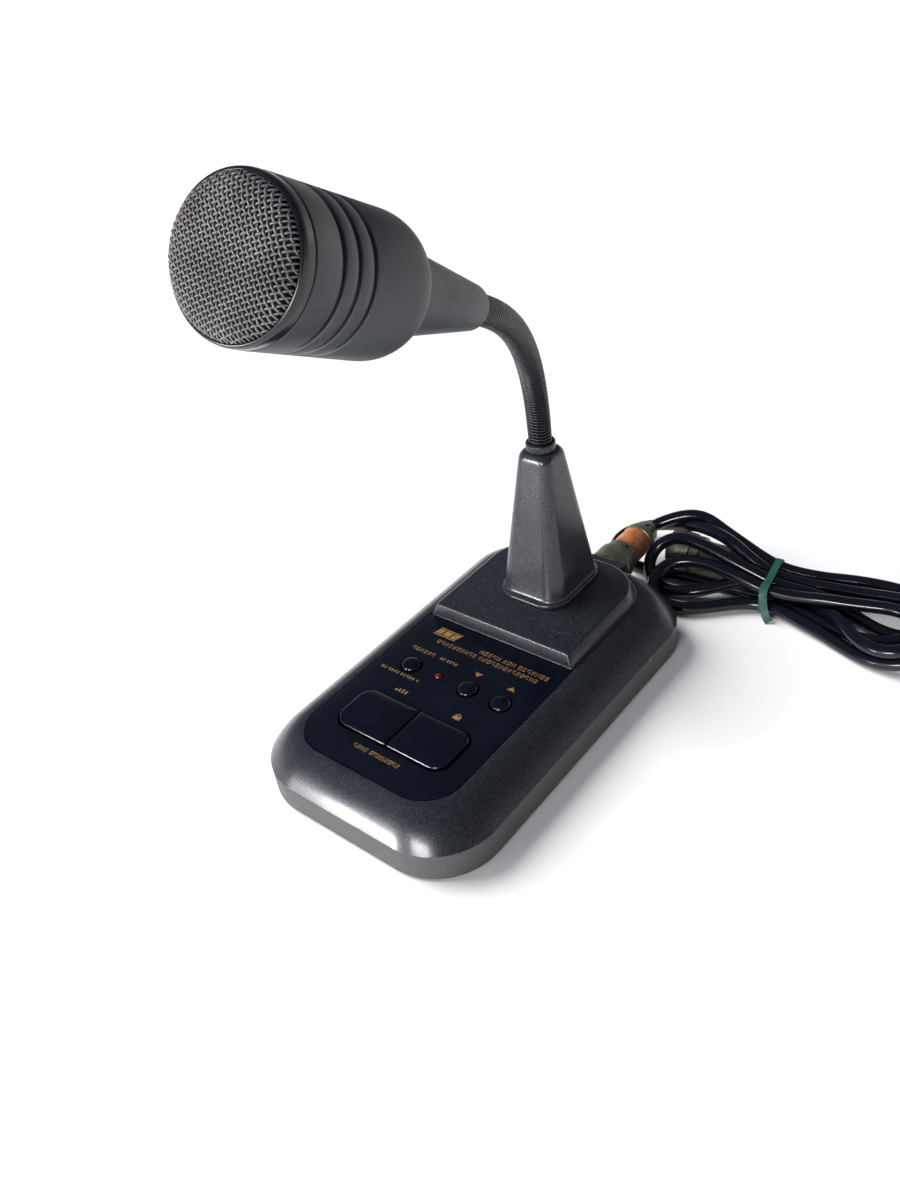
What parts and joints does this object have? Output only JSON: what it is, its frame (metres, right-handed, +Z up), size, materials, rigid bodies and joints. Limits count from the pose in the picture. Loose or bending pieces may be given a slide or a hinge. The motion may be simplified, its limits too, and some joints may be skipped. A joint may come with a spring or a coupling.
{
  "type": "desk microphone",
  "caption": "Radio operator's desk microphone: grooved barrel head on a bendable gooseneck, tapered tower, keyed control base, and a rear plug with its tied cord.",
  "frame": {"origin": "on the desk, under the middle of the base's 110 by 183 mm footprint; the rubber feet stand at z = 0", "axes": "+Z up; -Y towards the operator, where the talk keys are; +Y towards the rear plug; +X to the operator's right"},
  "size_m": [0.224, 0.2755, 0.2595],
  "materials": {
    "cover_paint": "satin charcoal enamel with a fine flake",
    "panel_black": "satin-gloss blue-black",
    "key_black": "polished black",
    "head_plastic": "fine-grained matte blue-grey",
    "rim_black": "polished black",
    "neck_black": "satin black over a fine spiral",
    "mesh_metal": "woven warm-grey wire",
    "foam_black": "open-cell foam",
    "aged_nickel": "dull aged nickel, olive tinge",
    "bright_steel": "zinc-plated",
    "weight_iron": "rough cast",
    "capsule_metal": "satin",
    "rubber_black": "matte",
    "cord_black": "glossy soft jacket",
    "tie_green": "flat dark green strap",
    "band_orange": "printed sleeve, plain",
    "inner_grey": "plain moulded",
    "board_green": "laminate",
    "lamp_red": "clear dark red dome",
    "cell_jacket": "printed can, plain"
  },
  "bodies": {
    "base": {"ballast_weight": "weight_iron", "battery_1": "cell_jacket", "battery_2": "cell_jacket", "battery_box": "inner_grey", "battery_cover": "inner_grey", "bottom_plate": "bright_steel", "bottom_screw_1": "bright_steel", "bottom_screw_2": "bright_steel", "bottom_screw_3": "bright_steel", "bottom_screw_4": "bright_steel", "chassis_socket": "aged_nickel", "circuit_board": "board_green", "clamp_screw": "bright_steel", "control_panel": "panel_black", "cord_hank": "cord_black", "cord_lead": "cord_black", "cord_tie": "tie_green", "down_switch": "inner_grey", "far_plug_ring": "aged_nickel", "far_plug_shell": "aged_nickel", "gooseneck_1": "neck_black", "key_pin": "bright_steel", "lock_spring": "bright_steel", "lock_switch": "inner_grey", "neck_tower": "cover_paint", "on_air_lamp": "lamp_red", "plug_band": "band_orange", "plug_clamp": "aged_nickel", "plug_shell": "aged_nickel", "power_switch": "inner_grey", "ptt_spring": "bright_steel", "ptt_switch": "inner_grey", "rear_platform": "cover_paint", "rubber_foot_1": "rubber_black", "rubber_foot_2": "rubber_black", "rubber_foot_3": "rubber_black", "rubber_foot_4": "rubber_black", "socket_insert": "inner_grey", "socket_nut": "aged_nickel", "top_cover": "cover_paint", "tower_collar": "cover_paint", "up_switch": "inner_grey"},
    "neck_2": {"gooseneck_2": "neck_black"},
    "neck_3": {"gooseneck_3": "neck_black"},
    "neck_4": {"gooseneck_4": "neck_black"},
    "neck_5": {"gooseneck_5": "neck_black"},
    "head": {"gooseneck_6": "neck_black", "head_rear_cone": "head_plastic", "head_barrel": "head_plastic", "head_front_ring": "rim_black", "head_grille": "mesh_metal", "foam_liner": "foam_black", "mic_capsule": "capsule_metal", "capsule_holder": "rubber_black"},
    "ptt_key": {"ptt_key": "key_black"},
    "lock_key": {"lock_key": "key_black"},
    "power_button": {"power_button": "key_black"},
    "down_button": {"down_button": "key_black"},
    "up_button": {"up_button": "key_black"},
    "plug_ring": {"plug_ring": "aged_nickel"}
  },
  "joints": [
    {"name": "neck_nod_1", "type": "hinge", "parent": "base", "child": "neck_2", "pos_m": [0.00065, 0.05483, 0.116], "axis": [0.9826, 0.1728, -0.0682], "range_deg": [-14, 12]},
    {"name": "neck_sway_2", "type": "hinge", "parent": "neck_2", "child": "neck_3", "pos_m": [0.00537, 0.04612, 0.13963], "axis": [-0.1367, 0.8441, 0.5184], "range_deg": [-14, 14]},
    {"name": "neck_nod_3", "type": "hinge", "parent": "neck_3", "child": "neck_4", "pos_m": [0.01294, 0.0314, 0.1592], "axis": [0.9393, 0.3078, -0.1513], "range_deg": [-14, 12]},
    {"name": "neck_sway_4", "type": "hinge", "parent": "neck_4", "child": "neck_5", "pos_m": [0.02156, 0.01311, 0.17524], "axis": [-0.092, 0.5679, 0.8179], "range_deg": [-14, 14]},
    {"name": "neck_nod_5", "type": "hinge", "parent": "neck_5", "child": "head", "pos_m": [0.02962, -0.0075, 0.18861], "axis": [0.9598, 0.2732, -0.0638], "range_deg": [-14, 12]},
    {"name": "ptt_press", "type": "hinge", "parent": "base", "child": "ptt_key", "pos_m": [0, -0.04, 0.0215], "axis": [1, 0, 0], "range_deg": [0, 4], "stiffness_Nm_per_rad": 0.1, "springref_deg": -5.73, "deforming": ["ptt_spring"]},
    {"name": "lock_press", "type": "hinge", "parent": "base", "child": "lock_key", "pos_m": [0, -0.04, 0.0215], "axis": [1, 0, 0], "range_deg": [0, 4], "deforming": ["lock_spring"]},
    {"name": "power_press", "type": "slide", "parent": "base", "child": "power_button", "axis": [0, 0, -1], "range_m": [0, 0.0015]},
    {"name": "down_press", "type": "slide", "parent": "base", "child": "down_button", "axis": [0, 0, -1], "range_m": [0, 0.0008], "stiffness_N_per_m": 40, "springref_m": -0.006},
    {"name": "up_press", "type": "slide", "parent": "base", "child": "up_button", "axis": [0, 0, -1], "range_m": [0, 0.0008], "stiffness_N_per_m": 40, "springref_m": -0.006},
    {"name": "plug_ring_turn", "type": "hinge", "parent": "base", "child": "plug_ring", "pos_m": [0.005, 0.0998, 0.015], "axis": [0, 1, 0], "continuous": true}
  ],
  "couplings": [
    {"joint": "neck_nod_3", "follows": "neck_nod_1", "ratio": 1},
    {"joint": "neck_nod_5", "follows": "neck_nod_1", "ratio": 1},
    {"joint": "neck_sway_4", "follows": "neck_sway_2", "ratio": 1}
  ]
}
